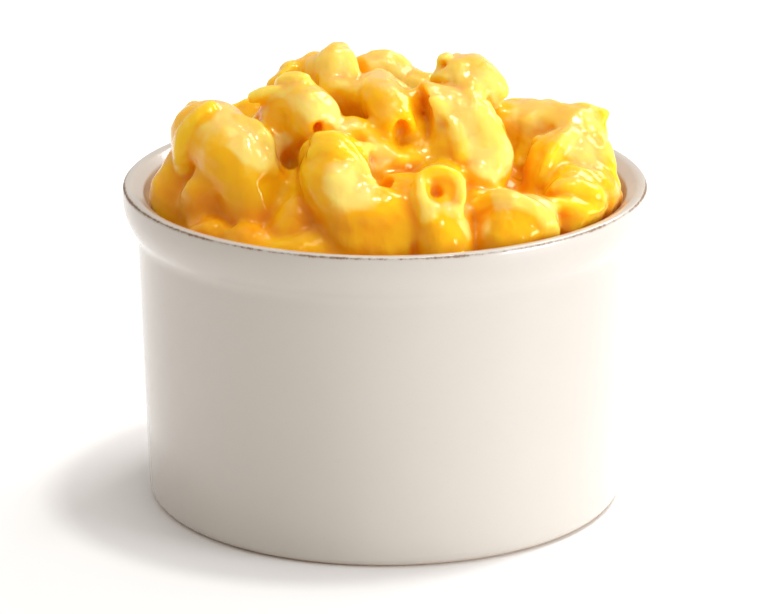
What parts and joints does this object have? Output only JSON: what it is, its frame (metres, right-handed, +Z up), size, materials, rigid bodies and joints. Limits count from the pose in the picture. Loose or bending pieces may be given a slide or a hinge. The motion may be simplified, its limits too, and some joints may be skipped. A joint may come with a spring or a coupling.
{
  "type": "mac and cheese in a ramekin",
  "caption": "Baked-style macaroni and cheese heaped above the rim of a round cream stoneware ramekin with a collared lip.",
  "frame": {"origin": "centre of the underside, on the table", "axes": "+Z up, -Y towards the side the heap shows its big front elbow on"},
  "size_m": [0.092, 0.092, 0.0807],
  "materials": {
    "ramekin": "glossy cream glaze, worn brown along the rim",
    "macaroni": "wet, glossy cheddar sauce over cooked pasta, golden yellow"
  },
  "bodies": {
    "root": {"ramekin": "ramekin", "macaroni": "macaroni"}
  },
  "joints": []
}
